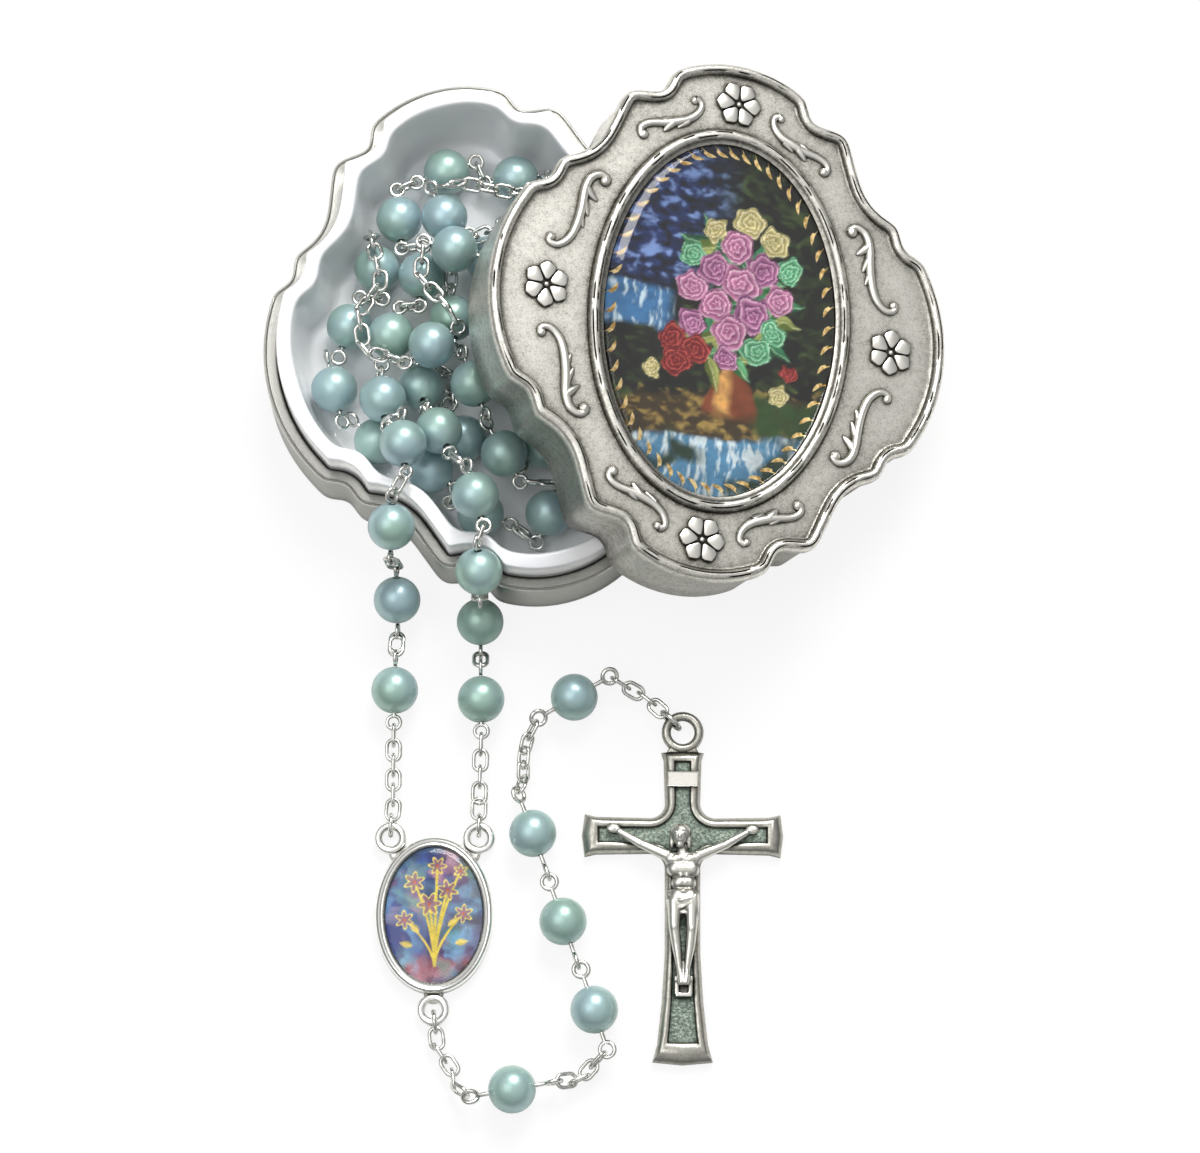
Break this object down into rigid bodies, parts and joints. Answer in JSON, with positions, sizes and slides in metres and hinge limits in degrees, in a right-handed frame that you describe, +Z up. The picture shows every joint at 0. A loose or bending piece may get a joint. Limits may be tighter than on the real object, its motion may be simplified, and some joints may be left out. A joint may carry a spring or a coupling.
{
  "type": "rosary box",
  "caption": "Scalloped metal keepsake box with an enamelled tray, a lift-off lid with an oval domed picture, and the beaded rosary kept in it, shown open.",
  "frame": {"origin": "the middle of the base's underside, on the table", "axes": "+Z up, +X from the base towards the lid laid beside it, +Y along the base's long side, away from the rosary's drop"},
  "size_m": [0.0904, 0.1314, 0.0298],
  "materials": {
    "white_enamel": "glossy white enamel",
    "printed_card": "printed in dark blue, violet, green and rose",
    "clear_resin": "clear and glossy",
    "grey_blue_pearl": "pearl coated",
    "silvered_wire": "bright silver plating",
    "antique_silver_metal": "antiqued silver plating, dark in the hollows"
  },
  "bodies": {
    "root": {"base_shell": "antique_silver_metal", "base_liner": "white_enamel", "decade_1_beads": "grey_blue_pearl", "decade_2_beads": "grey_blue_pearl", "decade_3_beads": "grey_blue_pearl", "decade_4_beads": "grey_blue_pearl", "decade_5_beads": "grey_blue_pearl", "our_father_beads": "grey_blue_pearl", "decade_1_pins": "silvered_wire", "decade_2_pins": "silvered_wire", "decade_3_pins": "silvered_wire", "decade_4_pins": "silvered_wire", "decade_5_pins": "silvered_wire", "our_father_pins": "silvered_wire", "spacer_chains": "silvered_wire", "left_chain": "silvered_wire", "right_chain": "silvered_wire", "medal_frame": "antique_silver_metal", "medal_picture": "printed_card", "medal_dome": "clear_resin"},
    "lid": {"lid_shell": "antique_silver_metal", "lid_picture": "printed_card", "lid_dome": "clear_resin"},
    "drop": {"drop_end_beads": "grey_blue_pearl", "drop_hail_mary_beads": "grey_blue_pearl", "drop_pins": "silvered_wire", "drop_upper_chain": "silvered_wire", "drop_lower_chain": "silvered_wire"},
    "crucifix": {"crucifix_cross": "antique_silver_metal", "crucifix_corpus": "antique_silver_metal", "crucifix_title_plate": "antique_silver_metal"}
  },
  "joints": [
    {"name": "lid_lift", "type": "slide", "parent": "root", "child": "lid", "axis": [0, 0, 1], "range_m": [0, 0.06]},
    {"name": "drop_swing", "type": "hinge", "parent": "root", "child": "drop", "pos_m": [-0.03021, -0.08109, 0.0012], "axis": [0, 0, 1], "range_deg": [-30, 0]},
    {"name": "crucifix_swing", "type": "hinge", "parent": "drop", "child": "crucifix", "pos_m": [0.0095, -0.0549, 0.0013], "axis": [0, 0, 1], "range_deg": [-4, 40]}
  ]
}
